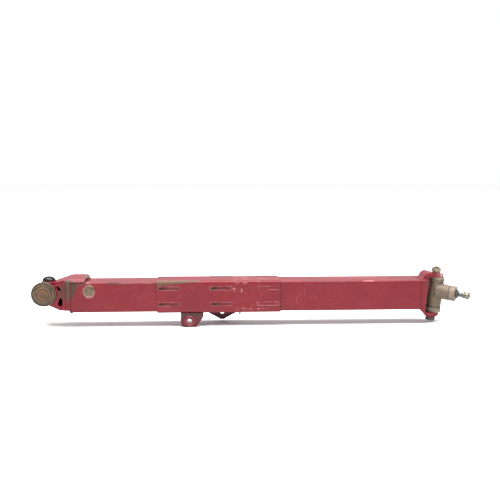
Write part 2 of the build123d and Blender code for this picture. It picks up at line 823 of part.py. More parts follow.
HUB_BACK = EYE_HALF + 0.3
with BuildPart() as pivot_hub:
    add(
        turned(
            HUB,
            (-EYE_HALF - 12, 0),
            (-EYE_HALF - 12, SHAFT_R - 1.5),
            (-EYE_HALF - 10.5, SHAFT_R),
            (HUB_BACK + 3, SHAFT_R),
            (HUB_BACK + 3, HUB_R - 1),
            (HUB_BACK + 4, HUB_R),
            (HUB_BACK + 9, HUB_R),
            (HUB_BACK + 11, HUB_R - 2.5),
            (HUB_BACK + 12, 25.5),
            (HUB_BACK + 14, 24.8),
            (HUB_BACK + 15, SPIGOT_R),
            (HUB_BACK + 21, SPIGOT_R),
            (HUB_BACK + 22, SPIGOT_R - 1),
            (HUB_BACK + 22, 17),
            (HUB_BACK + 20.5, 16.5),
            (HUB_BACK + 20.5, 15.8),
            (HUB_BACK + 23.5, 15),
            (HUB_BACK + 24.5, 12),
            (HUB_BACK + 24.5, 0),
        )
    )
keep("pivot_hub", pivot_hub.part)

with BuildPart() as hub_thrust_seal:
    add(ring(HUB, HUB_BACK, HUB_BACK + 3, SHAFT_R, HUB_R - 1.5, 0.5))
keep("hub_thrust_seal", hub_thrust_seal.part)

with BuildPart() as hub_retaining_washer:
    add(ring(HUB, -EYE_HALF - 4.3, -EYE_HALF - 0.3, SHAFT_R, 26, 0.8))
keep("hub_retaining_washer", hub_retaining_washer.part)

with BuildPart() as hub_retaining_ring:
    add(ring(HUB, -EYE_HALF - 7.3, -EYE_HALF - 4.3, SHAFT_R, 21, 0.6))
keep("hub_retaining_ring", hub_retaining_ring.part)

# ---- Body "knuckle": the swivel block on the king pin ----

PIN_RUN = PIN_R + RUNNING
BORE_MID = 9.5
with BuildPart() as swivel_block:
    add(
        turned(
            BLOCK,
            (BLOCK_BOTTOM, 0),
            (BLOCK_BOTTOM, BLOCK_R - 1),
            (BLOCK_BOTTOM + 1, BLOCK_R),
            (BLOCK_TOP - 1, BLOCK_R),
            (BLOCK_TOP, BLOCK_R - 1),
            (BLOCK_TOP, 0),
        )
    )
    with BuildSketch(BRANCH.offset(8)):
        Circle(BRANCH_R + 2.5)
    with BuildSketch(BRANCH.offset(38)):
        Circle(BRANCH_R)
    loft()
    add(ring(BRANCH, 30, 46, 5, BRANCH_R, 0.8))
    add(ring(PIN, BLOCK_BOTTOM - 1, BLOCK_TOP + 1, 0, BORE_MID), mode=Mode.SUBTRACT)
    for start in (BLOCK_BOTTOM, BLOCK_TOP - BUSH_LENGTH):
        add(ring(PIN, start, start + BUSH_LENGTH, 0, BUSH_R), mode=Mode.SUBTRACT)
    add(ring(BRANCH, 18, 47, 0, BRANCH_BORE), mode=Mode.SUBTRACT)
    add(ring(BRANCH, 5, 19, 0, 4), mode=Mode.SUBTRACT)
keep("swivel_block", swivel_block.part)

for name, start in (("lower_bush", BLOCK_BOTTOM), ("upper_bush", BLOCK_TOP - BUSH_LENGTH)):
    with BuildPart() as bush:
        add(ring(PIN, start, start + BUSH_LENGTH, PIN_RUN, BUSH_R))
    keep(name, bush.part)

washer_spans = {
    "lower_thrust_washer": (LOWER_EAR[1] + WASHER_GAP, BLOCK_BOTTOM),
    "upper_thrust_washer": (BLOCK_TOP, UPPER_EAR[0] - WASHER_GAP),
}
for name, (start, end) in washer_spans.items():
    with BuildPart() as thrust_washer:
        middle = (start + end) / 2
        add(ring(BLOCK, start, end, 1, BLOCK_R + 0.8, 1))
        add(ring(BLOCK, middle - 0.6, middle + 0.6, BLOCK_R - 1, BLOCK_R + 2), mode=Mode.SUBTRACT)
        add(ring(PIN, start - 1, end + 1, 0, PIN_RUN), mode=Mode.SUBTRACT)
    keep(name, thrust_washer.part)

COLLAR_GAP = 1.4
SPINDLE_RUN = SPINDLE_R + RUNNING
with BuildPart() as branch_collar:
    add(
        turned(
            BRANCH,
            (30, SPINDLE_RUN),
            (30, BRANCH_BORE),
            (46, BRANCH_BORE),
            (46, BRANCH_R - 2.5),
            (46 + COLLAR_GAP, BRANCH_R - 2.5),
            (46 + COLLAR_GAP, BRANCH_R - 0.8),
            (47 + COLLAR_GAP, BRANCH_R),
            (COLLAR_FACE - 1.5, BRANCH_R),
            (COLLAR_FACE, BRANCH_R - 1.5),
            (COLLAR_FACE, SPINDLE_RUN),
            (42, SPINDLE_RUN),
            (42, SPINDLE_RUN + 3),
            (38, SPINDLE_RUN + 3),
            (38, SPINDLE_RUN),
        )
    )
keep("branch_collar", branch_collar.part)

with BuildPart() as branch_seal:
    add(ring(BRANCH, 38, 42, SPINDLE_RUN, SPINDLE_RUN + 3))
keep("branch_seal", branch_seal.part)

# ---- Body "spindle": turns in the branch and carries the coupler nipple ----

HEX_START = COLLAR_FACE + 0.3
HEX_END = COLLAR_FACE + 7
NECK_END = 82.5
NOSE = 3.5
FLANGE_R = 12.0
OIL_R = 3.0
with BuildPart() as inlet_spindle:
    add(
        turned(
            BRANCH,
            (20, OIL_R),
            (20, FLANGE_R),
            (29.7, FLANGE_R),
            (29.7, SPINDLE_R),
            (HEX_START, SPINDLE_R),
            (HEX_START, 6.5),
            (NECK_END, 6.5),
            (NECK_END, 5),
            (NECK_END + NOSE, 5),
            (NECK_END + NOSE, OIL_R),
        )
    )
    add(hexagon(BRANCH, HEX_START, HEX_END, 21, 6))
keep("inlet_spindle", inlet_spindle.part)

with BuildPart() as nipple_seal:
    add(ring(BRANCH, NECK_END, NECK_END + 1, 5, 8, 0.3))
keep("nipple_seal", nipple_seal.part)

# Coupler nipple: a threaded sleeve with a shoulder, a locking groove and a bored nose
NIPPLE_START = NECK_END + 1
NIPPLE_END = 102.0
MOUTH = 3.4
CHAMBER = 5.0
with BuildPart() as coupler_nipple:
    add(
        turned(
            BRANCH,
            (NIPPLE_START, CHAMBER),
            (NIPPLE_START, 9),
            (NIPPLE_START + 1, 10),
            (NIPPLE_START + 3.5, 10),
            (NIPPLE_START + 4.5, 8.2),
            (NIPPLE_START + 6.5, 8.2),
            (NIPPLE_START + 7.5, 10),
            (NIPPLE_END - 4, 10),
            (NIPPLE_END - 1, 8.5),
            (NIPPLE_END, 7.5),
            (NIPPLE_END, MOUTH + 1),
            (NIPPLE_END - 3, MOUTH),
            (NIPPLE_END - 5, MOUTH),
            (NIPPLE_END - 7, CHAMBER),
        )
    )
    with BuildSketch(BRANCH.offset(NIPPLE_START + 1)):
        with Locations((11, 0)):
            RectangleRounded(4, 3.4, 0.8)
    extrude(amount=2.4)
keep("coupler_nipple", coupler_nipple.part)

# ---- Body "poppet": the coupler's spring-loaded valve ----

POPPET_TRAVEL = 3.0
with BuildPart() as coupler_poppet:
    add(
        turned(
            BRANCH,
            (NIPPLE_END - 14, 0),
            (NIPPLE_END - 14, 1.4),
            (NIPPLE_END - 10.4, 1.4),
            (NIPPLE_END - 10.4, CHAMBER - 0.3),
            (NIPPLE_END - 7.6, CHAMBER - 0.3),
            (NIPPLE_END - 5.8, MOUTH - 0.15),
            (NIPPLE_END - 1.5, MOUTH - 0.15),
            (NIPPLE_END - 1, MOUTH - 0.8),
            (NIPPLE_END - 1, 0),
        )
    )
keep("coupler_poppet", coupler_poppet.part)

SPRING_WIRE = 0.5
SPRING_R = 3.6
with BuildPart() as poppet_spring:
    spring_base = BRANCH.offset(NECK_END + NOSE + 0.6)
    spring_length = NIPPLE_END - 10.4 - NECK_END - NOSE - 1.2
    with BuildLine():
        coil = Helix(pitch=spring_length / 4, height=spring_length, radius=SPRING_R,
                     center=spring_base.origin, direction=BRANCH.z_dir)
    with BuildSketch(Plane(origin=coil @ 0, z_dir=coil % 0)):
        Circle(SPRING_WIRE)
    sweep()
keep("poppet_spring", poppet_spring.part)

# ---- Move the origin to the ground under the middle, and write the pieces ----

box = Compound(list(pieces.values())).bounding_box()
SHIFT = Vector(-(box.min.X + box.max.X) / 2, -(box.min.Y + box.max.Y) / 2, -box.min.Z)

os.makedirs("parts", exist_ok=True)
for name, part in pieces.items():
    placed = part.moved(Location(SHIFT))
    placed.label = name
    export_step(placed, f"parts/{name}.step")

print("shift", SHIFT, "size", box.size)
print("pieces", len(pieces))
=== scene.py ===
"""Looks of the telescopic hydraulic strut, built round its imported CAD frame. Metres, in the row frame."""
import json
import math

import bmesh
import bpy
from mathutils import Matrix, Vector, noise


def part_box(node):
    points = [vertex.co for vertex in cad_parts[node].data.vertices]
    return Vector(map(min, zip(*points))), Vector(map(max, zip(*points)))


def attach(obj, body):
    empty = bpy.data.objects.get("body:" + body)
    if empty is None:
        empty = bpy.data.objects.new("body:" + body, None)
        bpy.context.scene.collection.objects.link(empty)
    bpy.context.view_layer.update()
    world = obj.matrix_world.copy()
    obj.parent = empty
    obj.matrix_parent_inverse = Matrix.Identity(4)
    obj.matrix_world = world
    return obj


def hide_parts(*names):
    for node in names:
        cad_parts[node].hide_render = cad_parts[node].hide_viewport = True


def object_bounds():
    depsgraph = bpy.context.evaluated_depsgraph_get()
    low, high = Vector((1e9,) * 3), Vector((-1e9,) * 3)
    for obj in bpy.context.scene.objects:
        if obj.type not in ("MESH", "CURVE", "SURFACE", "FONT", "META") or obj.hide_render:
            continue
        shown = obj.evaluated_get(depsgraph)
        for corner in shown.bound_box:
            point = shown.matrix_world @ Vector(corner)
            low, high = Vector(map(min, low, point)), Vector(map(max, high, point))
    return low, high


MM = 0.001

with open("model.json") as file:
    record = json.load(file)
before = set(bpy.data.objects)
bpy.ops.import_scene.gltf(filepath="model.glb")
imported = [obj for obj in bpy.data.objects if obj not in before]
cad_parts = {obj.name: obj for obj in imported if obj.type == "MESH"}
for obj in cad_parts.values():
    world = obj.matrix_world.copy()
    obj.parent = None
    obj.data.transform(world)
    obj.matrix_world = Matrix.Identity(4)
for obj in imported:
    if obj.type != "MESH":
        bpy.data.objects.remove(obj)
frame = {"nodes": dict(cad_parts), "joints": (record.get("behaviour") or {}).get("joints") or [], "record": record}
NODES = frame["nodes"]
JOINTS = {joint["name"]: joint for joint in frame["joints"]}
CAD_LOW, CAD_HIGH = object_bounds()
FLOOR_Z = CAD_LOW.z


def centre(node):
    """The middle of a CAD node's box."""
    low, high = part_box(node)
    return (low + high) / 2


def span(node):
    """A CAD node's lowest and highest corners, in millimetres from the sleeve's middle."""
    low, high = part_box(node)
    return (low - SLEEVE) / MM, (high - SLEEVE) / MM


SLEEVE = centre("guide_sleeve")
SLEEVE_LOW, SLEEVE_HIGH = span("guide_sleeve")
OUTER_HIGH = span("outer_tube")[1]
INNER_LOW, INNER_HIGH = span("inner_tube")
STRAP_HIGH = span("head_top_strap")[1]
LUG_LOW, LUG_HIGH = span("linkage_lug")
STAY_LOW, STAY_HIGH = span("stay_lug")


def place(x, y, z):
    """A point given in millimetres from the middle of the sleeve, on the tube axis."""
    return SLEEVE + Vector((x, y, z)) * MM


# ---------------------------------------------------------------- node graphs


class Field:
    """A number that varies over the surface: a socket of a node tree, with arithmetic."""

    def __init__(self, tree, socket):
        self.tree = tree
        self.socket = socket

    def math(self, operation, *others):
        """One math node; the others are numbers or fields."""
        node = self.tree.nodes.new("ShaderNodeMath")
        node.operation = operation
        for slot, value in zip(node.inputs, (self, *others)):
            if isinstance(value, Field):
                self.tree.links.new(value.socket, slot)
            else:
                slot.default_value = value
        return Field(self.tree, node.outputs[0])

    def __add__(self, other):
        return self.math("ADD", other)

    def __sub__(self, other):
        return self.math("SUBTRACT", other)

    def __mul__(self, other):
        return self.math("MULTIPLY", other)

    def __abs__(self):
        return self.math("ABSOLUTE")

    def power(self, exponent):
        return self.math("POWER", exponent)

    def most(self, other):
        return self.math("MAXIMUM", other)

    def flipped(self):
        """One minus the field."""
        return (self * -1.0) + 1.0

    def step(self, low, high):
        """0 below low, 1 above high, smooth between; low may be the larger."""
        node = self.tree.nodes.new("ShaderNodeMapRange")
        node.interpolation_type = "SMOOTHSTEP"
        low, high, start, end = (low, high, 0.0, 1.0) if low < high else (high, low, 1.0, 0.0)
        self.tree.links.new(self.socket, node.inputs["Value"])
        node.inputs["From Min"].default_value = low
        node.inputs["From Max"].default_value = high
        node.inputs["To Min"].default_value = start
        node.inputs["To Max"].default_value = end
        return Field(self.tree, node.outputs["Result"])

    def distance(self, other):
        """The length of the two fields taken as sides of a right angle."""
        return (self.power(2.0) + other.power(2.0)).power(0.5)

    def between(self, low, high, soft):
        """1 between low and high, falling to 0 over soft on each side."""
        return self.step(low - soft, low + soft) * self.step(high + soft, high - soft)


class Finish:
    """A procedural material: coordinates in millimetres from the sleeve's middle, masks and layers."""

    def __init__(self, name, colour, roughness, metallic=0.0, specular=0.5):
        self.material = bpy.data.materials.new(name)
        self.material.use_nodes = True
        self.tree = self.material.node_tree
        self.shader = self.tree.nodes["Principled BSDF"]
        self.shader.inputs["Metallic"].default_value = metallic
        self.shader.inputs["Specular IOR Level"].default_value = specular
        self.colour = None
        self.first_colour = (*colour, 1)
        self.rough = roughness
        self.metal = None if metallic == 0 else metallic
        self.height = None
        coordinates = self.tree.nodes.new("ShaderNodeTexCoord")
        shift = self.vector("SUBTRACT", coordinates.outputs["Object"], tuple(SLEEVE))
        self.mm = self.vector("SCALE", shift, scale=1 / MM)
        split = self.tree.nodes.new("ShaderNodeSeparateXYZ")
        self.tree.links.new(self.mm, split.inputs[0])
        self.x, self.y, self.z = (Field(self.tree, split.outputs[i]) for i in range(3))

    def vector(self, operation, first, second=None, scale=None):
        """One vector math node with a constant second vector or scale; returns its output socket."""
        node = self.tree.nodes.new("ShaderNodeVectorMath")
        node.operation = operation
        self.tree.links.new(first, node.inputs[0])
        if second is not None:
            node.inputs[1].default_value = second
        if scale is not None:
            node.inputs["Scale"].default_value = scale
        return node.outputs["Vector"]

    def noise(self, size, detail=4.0, rough=0.55, stretch=(1, 1, 1), seed=0.0):
        """Noise from about 0.2 to 0.8, with lumps of about size millimetres."""
        scaled = self.vector("MULTIPLY", self.mm, tuple(1 / (size * s) for s in stretch))
        node = self.tree.nodes.new("ShaderNodeTexNoise")
        node.noise_dimensions = "4D"
        self.tree.links.new(scaled, node.inputs["Vector"])
        node.inputs["W"].default_value = seed
        node.inputs["Scale"].default_value = 1.0
        node.inputs["Detail"].default_value = detail
        node.inputs["Roughness"].default_value = rough
        return Field(self.tree, node.outputs["Fac"])

    def edges(self, radius):
        """How near an edge of the shape is: 0 on flats, towards 1 on a sharp edge."""
        bevel = self.tree.nodes.new("ShaderNodeBevel")
        bevel.samples = 6
        bevel.inputs["Radius"].default_value = radius * MM
        geometry = self.tree.nodes.new("ShaderNodeNewGeometry")
        node = self.tree.nodes.new("ShaderNodeVectorMath")
        node.operation = "DOT_PRODUCT"
        self.tree.links.new(bevel.outputs[0], node.inputs[0])
        self.tree.links.new(geometry.outputs["Normal"], node.inputs[1])
        return Field(self.tree, node.outputs["Value"]).flipped().step(0.02, 0.22)

    def facing(self, axis):
        """How far the surface faces along one world axis (0, 1 or 2), from -1 to 1."""
        geometry = self.tree.nodes.new("ShaderNodeTexCoord")
        split = self.tree.nodes.new("ShaderNodeSeparateXYZ")
        self.tree.links.new(geometry.outputs["Normal"], split.inputs[0])
        return Field(self.tree, split.outputs[axis])

    def layer(self, mask, colour, roughness=None, metallic=None, strength=1.0):
        """Cover what is there with a colour and a roughness, as far as the mask says."""
        if strength != 1.0:
            mask = mask * strength
        node = self.tree.nodes.new("ShaderNodeMix")
        node.data_type = "RGBA"
        self.tree.links.new(mask.socket, node.inputs["Factor"])
        if self.colour is None:
            node.inputs[6].default_value = self.first_colour
        else:
            self.tree.links.new(self.colour, node.inputs[6])
        node.inputs[7].default_value = (*colour, 1)
        self.colour = node.outputs[2]
        if roughness is not None:
            self.rough = self.blend(self.rough, roughness, mask)
        if metallic is not None and self.metal is not None:
            self.metal = self.blend(self.metal, metallic, mask)

    def blend(self, old, new, mask):
        """The old value where the mask is 0 and the new one where it is 1."""
        return mask.flipped() * old + mask * new

    def relief(self, height, depth):
        """Add a height field, scaled to depth millimetres."""
        self.height = height * depth if self.height is None else self.height + height * depth

    def done(self):
        """Join what the layers left to the shader, and return the material."""
        if self.colour is not None:
            self.tree.links.new(self.colour, self.shader.inputs["Base Color"])
        else:
            self.shader.inputs["Base Color"].default_value = self.first_colour
        for value, name in ((self.rough, "Roughness"), (self.metal, "Metallic")):
            if isinstance(value, Field):
                self.tree.links.new(value.socket, self.shader.inputs[name])
            elif value is not None:
                self.shader.inputs[name].default_value = value
        if self.height is not None:
            bump = self.tree.nodes.new("ShaderNodeBump")
            bump.inputs["Strength"].default_value = 1.0
            bump.inputs["Distance"].default_value = MM
            self.tree.links.new(self.height.socket, bump.inputs["Height"])
            self.tree.links.new(bump.outputs[0], self.shader.inputs["Normal"])
        return self.material


# ---------------------------------------------------------------- materials

CRIMSON = (0.105, 0.0025, 0.0075)
DEEP_CRIMSON = (0.06, 0.002, 0.006)
PINK_CHALK = (0.3, 0.075, 0.08)
PRIMER = (0.14, 0.07, 0.06)
RUST = (0.1, 0.055, 0.035)
DARK_STEEL = (0.028, 0.02, 0.018)
DRY_DUST = (0.34, 0.24, 0.18)
BAND = (0.06, 0.038, 0.021)
BAND_LIT_TOP = (0.09, 0.062, 0.04)
PALE = (0.3, 0.13, 0.125)
BRIGHT_SCUFF = (0.6, 0.45, 0.42)
CHAFED = (0.42, 0.22, 0.2)
DARK_OLIVE = (0.03, 0.024, 0.015)
OLIVE = (0.05, 0.04, 0.026)
BROWN_OLIVE = (0.05, 0.038, 0.026)
MUD = (0.05, 0.03, 0.02)
GREY_WEAR = (0.08, 0.062, 0.048)
BLACK_SEAM = (0.02, 0.014, 0.01)


def enamel(name, marks=(), colour=CRIMSON):
    """Crimson enamel, chalked and dusty, chipped along its edges, with painted shade on its downward faces. marks
    add placed wear, dirt and painted light and shade.
    """
    paint = Finish(name, colour, 0.36, specular=0.2)
    paint.layer(paint.noise(90, 3, seed=1).step(0.35, 0.75), DEEP_CRIMSON, strength=0.35)
    paint.layer(paint.noise(26, 5, 0.65, (2.5, 1, 1), 2).step(0.45, 0.8), PINK_CHALK, 0.5, strength=0.08)
    dust = paint.noise(7, 6, 0.7, (1.5, 1, 1), 3).step(0.5, 0.72)
    dust = dust * paint.noise(60, 2, seed=4).step(0.4, 0.7)
    paint.layer(dust, DRY_DUST, 0.7, strength=0.08)
    # Painted shade: faces that turn downward are darkened.
    paint.layer(paint.facing(2).step(-0.2, -0.9), DEEP_CRIMSON, 0.6, strength=0.5)
    scratches = paint.noise(5, 2, 0.5, (9, 1, 0.25), 5).step(0.66, 0.7)
    scratches = scratches * paint.noise(40, 2, seed=6).step(0.5, 0.62)
    paint.layer(scratches, PINK_CHALK, 0.5, strength=0.3)
    edge = paint.edges(1.6) * paint.noise(11, 4, 0.7, (2.2, 1, 1), 7).step(0.5, 0.62)
    paint.layer(edge, PRIMER, 0.6, strength=0.5)
    deep = paint.edges(0.9) * paint.noise(8, 4, 0.7, (2, 1, 1), 8).step(0.56, 0.66)
    paint.layer(deep, RUST, 0.8, strength=0.85)
    paint.relief(paint.noise(3.2, 2, seed=9), 0.05)
    paint.relief(paint.noise(24, 3, seed=10), 0.3)
    paint.relief(deep, -0.15)
    for mark in marks:
        mark(paint)
    return paint.done()


def chipped(paint, mask, size, seed, core=RUST, rim=PRIMER, level=0.5, stretch=(2, 1, 1)):
    """Flaked paint inside a mask: a pale rim round bare metal."""
    ragged = mask * 0.6 + paint.noise(size, 6, 0.7, stretch, seed) * 0.9
    outer = ragged.step(level + 0.42, level + 0.47)
    inner = ragged.step(level + 0.47, level + 0.52)
    paint.layer(outer, rim, 0.65, strength=0.75)
    paint.layer(inner, core, 0.75)
    paint.relief(inner, -0.18)


def top_front_edge(paint, half, reach_top, reach_front):
    """1 on the long top-front edge, 0 further than the two reaches from it."""
    inward = (paint.y + half) * (1 / reach_top)
    downward = (paint.z - half) * (-1 / reach_front)
    return inward.most(downward).step(1.0, 0.5)


def tube_marks(paint):
    """Chipped top-front edges of both tubes, pink chalking with painted sheen on their top faces, and dirt and
    wear at the sliding tube's strap end.
    """
    half = INNER_HIGH.z
    near = top_front_edge(paint, half, 4.5, 6.0)
    for start, end, seed, level in ((-392, -310, 21, 0.62), (-305, -176, 22, 0.52)):
        reach = near * paint.x.between(start, end, 10)
        chipped(paint, reach, 15, seed, DARK_STEEL, PRIMER, level, (3.5, 1, 1))
    # Pink on the top faces only: chalking, and painted sheen.
    chalk_and_sheen = paint.facing(2).step(0.5, 0.9) * paint.noise(30, 4, 0.6, (6, 1, 1), 23).step(0.45, 0.7)
    paint.layer(chalk_and_sheen, PINK_CHALK, 0.45, strength=0.18)
    front = paint.y.step(-39, -41)
    seam = front * paint.x.between(-401, -358, 4) * (paint.z - half).step(-9, -3)
    paint.layer(seam * paint.noise(9, 5, 0.6, (3, 1, 1), 24).step(0.36, 0.46), MUD, 0.8, strength=0.9)
    smear = front * (paint.x + paint.z.step(-8, 30) * -13.0).step(-394, -399) * paint.z.step(-14, -2)
    paint.layer(smear * paint.noise(10, 5, 0.6, seed=25).step(0.3, 0.42), DARK_OLIVE, 0.8, strength=0.92)
    strap_foot = paint.x.between(-401, -352, 4) * paint.z.step(half - 3, half) * paint.y.step(-8, -30)
    paint.layer(strap_foot * paint.noise(9, 5, seed=28).step(0.35, 0.6), CHAFED, 0.7, strength=0.7)
    knock = top_front_edge(paint, OUTER_HIGH.z, 5, 3) * paint.x.between(395, 430, 8)
    chipped(paint, knock, 12, 26, PINK_CHALK, BRIGHT_SCUFF, 0.5, (3, 1, 1))
    fine = paint.x.between(212, 238, 3) * paint.noise(4, 3, 0.5, (0.35, 1, 6), 27).step(0.6, 0.66)
    paint.layer(fine, PINK_CHALK, 0.5, strength=0.4)


SLOT_HALF = 29.0
SLOT_XS = (-136, 6, 135)
SLOT_ROWS = (24.0, -19.5)
WELDED_SLOTS_FROM = 100
BAND_START, BAND_END = -168, -40
FAR_EDGE_KNOCKS = ((-168, -156), (-24, 40), (104, 138), (150, 168))
# Chips on the sleeve's front: x, z, half width, half height and seed
CHIPS = (
    (52, 38, 7, 2, 35),
    (72, 38, 6, 3, 36),
    (62, 17, 2.5, 6, 37),
    (60, -33, 15, 3, 39),
    (104, -34, 28, 1.4, 40),
    (42, 19, 4, 6, 41),
)


def rubbed_band(paint, front, top):
    """Bare, dirty band along the top-front edge, from the sleeve's left end, with painted light making it paler on
    the top faces.
    """
    half = SLEEVE_HIGH.z
    ramp = paint.x.step(BAND_END, BAND_START)
    on_top = top * paint.x.step(-38, -60) * (paint.y + half + ramp * -8.0).step(9, 4)
    on_front = front * paint.x.step(-44, -70) * (paint.z - half + ramp * 9.0).step(-5, -1)
    ragged = on_top.most(on_front) * 0.6 + paint.noise(16, 6, 0.65, (4, 1, 1), 31) * 0.55
    worn = ragged.step(0.6, 0.84)
    paint.layer(worn, BAND, 0.6)
    # Painted light: the band is paler where it faces up.
    paint.layer(worn * top, BAND_LIT_TOP, 0.6, strength=0.8)
    dark = worn * paint.noise(8, 6, 0.7, (3, 1, 1), 32).step(0.48, 0.58) * top.flipped()
    paint.layer(dark, (0.05, 0.032, 0.022), 0.7, strength=0.75)
    low_edge = front * paint.x.step(-44, -66) * (paint.z - half).step(-6, -1.5)
    low_edge = low_edge * paint.noise(10, 5, 0.6, (3, 1, 1), 44).step(0.36, 0.5)
    paint.layer(low_edge, DARK_STEEL, 0.7, strength=0.65)
    left = front * paint.x.step(-146, -166) * (paint.z - half).step(-24, -6)
    left = left * paint.noise(8, 5, seed=33).step(0.38, 0.5)
    paint.layer(left, (0.07, 0.045, 0.03), 0.8, strength=0.75)


def slot_rim_highlights(paint, front):
    """Pale, uneven line round each slot: a painted highlight on the slot's edge."""
    for row in SLOT_ROWS:
        for x in SLOT_XS:
            past_end = (abs(paint.x - x) - (SLOT_HALF - 4)).most(0.0)
            # Painted highlight along the edge of each slot.
            rim = past_end.distance(abs(paint.z - row)).between(4.1, 5.6, 0.5) * front
            uneven = paint.noise(12, 4, 0.6, (2.5, 1, 1), 45 + x / 100 + row).step(0.36, 0.56)
            paint.layer(rim * uneven, PALE, 0.55, strength=0.75 if x > WELDED_SLOTS_FROM else 0.4)


def sleeve_marks(paint):
    """Rubbed band, knocks on the far edge, chips, painted highlights round the slots and a sooty spot on the
    sleeve.
    """
    half = SLEEVE_HIGH.z
    front = paint.y.step(-41, -44)
    top = paint.facing(2).step(0.5, 0.9)
    rubbed_band(paint, front, top)
    far = paint.y.step(half - 17, half - 12) * paint.z.step(half - 6, half - 3)
    for start, end in FAR_EDGE_KNOCKS:
        paint.layer(far * paint.x.between(start, end, 2), (0.03, 0.02, 0.02), 0.8, strength=0.9)
    flecks = top * paint.x.step(20, 60) * paint.noise(9, 6, 0.75, (3, 1, 1), 34).step(0.48, 0.58)
    paint.layer(flecks, (0.3, 0.14, 0.135), 0.6, strength=0.35)
    for x, z, wide, high, seed in CHIPS:
        spot = front * paint.x.between(x - wide, x + wide, 3) * paint.z.between(z - high, z + high, 1.5)
        spot = spot * paint.noise(5, 5, 0.7, (1.5, 1, 1), seed).step(0.48, 0.6)
        paint.layer(spot, PALE, 0.6, strength=0.7)
    slot_rim_highlights(paint, front)
    line = front * paint.z.between(-31, -29.6, 0.6) * paint.noise(30, 3, seed=42).step(0.4, 0.5)
    paint.layer(line, (0.09, 0.012, 0.018), 0.5, strength=0.6)
    sooty = front * paint.x.between(-26, -12, 4) * paint.z.between(18, 28, 3)
    sooty = sooty * paint.noise(6, 4, seed=46).step(0.36, 0.5)
    paint.layer(sooty, (0.06, 0.05, 0.045), 0.7, strength=0.85)


def slot_shadow_marks(paint):
    """The filled slots are painted dark at their left ends: painted shadow inside the sunk slots."""
    shadow_length = 18
    for x in SLOT_XS:
        start = x - SLOT_HALF
        strength = 0.2 if x > WELDED_SLOTS_FROM else 0.95
        # Painted shadow at each slot's left end.
        shadowed = paint.x.between(start, start + shadow_length, 6)
        paint.layer(shadowed, (0.02, 0.006, 0.006), 0.7, strength=strength)


def lug_grime_and_shadow(paint):
    """Grime and painted shadow on the tops of the lugs, where they meet the sleeve."""
    # Dark tops of the lugs under the sleeve: grime, and painted shadow.
    grime = paint.z.step(LUG_HIGH.z - 16, LUG_HIGH.z - 4) * paint.noise(12, 5, seed=55).step(0.4, 0.5)
    paint.layer(grime, (0.03, 0.02, 0.018), 0.8, strength=0.9)


def bush_marks(paint):
    """Paint rubbed pale on the rim of the lug's bush."""
    rub = paint.edges(1.5) * paint.noise(9, 4, seed=56).step(0.4, 0.52)
    paint.layer(rub, (0.34, 0.13, 0.14), 0.45, strength=0.85)


def yoke_marks(paint):
    """Rusty strip down the web's front corner, painted shade inside the yoke and under its upper ear, and dust on
    its upper ear.
    """
    strip = paint.x.step(567, 573) * paint.z.between(-22, 43, 8) * paint.y.step(-30, -36)
    ragged = strip * 0.7 + paint.noise(10, 6, 0.65, (1, 1, 3), 51) * 0.55
    paint.layer(ragged.step(0.82, 1.05), (0.075, 0.024, 0.018), 0.8, strength=0.75)
    stain = paint.x.step(568, 572) * paint.z.between(30, 45, 4) * paint.y.step(-30, -36)
    paint.layer(stain * paint.noise(7, 5, seed=52).step(0.42, 0.52), DARK_STEEL, 0.8, strength=0.9)
    # Painted shade: dark red inside the yoke.
    inside = paint.x.step(572, 576) * abs(paint.y).step(34, 28) * paint.z.between(-52, 45, 3)
    paint.layer(inside, (0.035, 0.006, 0.008), 0.8, strength=0.9)
    # Painted shade on the underside of the upper ear.
    under = paint.facing(2).step(-0.1, -0.5) * paint.z.step(30, 40)
    paint.layer(under, (0.06, 0.004, 0.008), 0.6, strength=0.9)
    tip = paint.x.step(604, 622) * paint.z.step(38, 48)
    paint.layer(tip * paint.noise(9, 5, seed=53).step(0.4, 0.55), DRY_DUST, 0.6, strength=0.6)


def head_marks(paint):
    """Grey worn end of the top strap, olive dirt by the end plate, and grime behind the hub."""
    strap_top = STRAP_HIGH.z
    worn = paint.x.step(-372, -362) * paint.z.step(strap_top - 9, strap_top - 2)
    paint.layer(worn * paint.noise(8, 5, seed=61).step(0.4, 0.5), GREY_WEAR, 0.6, strength=0.85)
    corner = paint.x.between(-412, -388, 6) * paint.y.step(-30, -38) * paint.z.step(22, 34)
    paint.layer(corner * paint.noise(8, 5, seed=62).step(0.4, 0.5), OLIVE, 0.6, strength=0.85)
    plate = paint.x.between(-416, -398, 2) * paint.y.step(-34, -39) * paint.z.step(-16, 2)
    plate = plate * paint.noise(12, 5, 0.6, (1, 1, 3), 63).step(0.34, 0.48)
    paint.layer(plate, BROWN_OLIVE, 0.8, strength=0.85)
    shade = paint.x.between(-436, -406, 6) * paint.y.step(-30, -35) * paint.z.between(-6, 34, 8)
    shade = shade * paint.noise(9, 5, seed=65).step(0.34, 0.5)
    paint.layer(shade, (0.05, 0.022, 0.017), 0.7, strength=0.75)
    grime = paint.x.step(-448, -460) * paint.noise(12, 5, seed=64).step(0.35, 0.6)
    paint.layer(grime, RUST, 0.8, strength=0.35)


# Dark seams round the block's ends lie square to the leaning king pin: they drop by this much in z per
# unit of x, and their heights are taken at this x, near the middle of the block
SEAM_SLOPE = 0.103
SEAM_X = 608.0
SEAM_HEIGHTS = (37.0, -38.0)


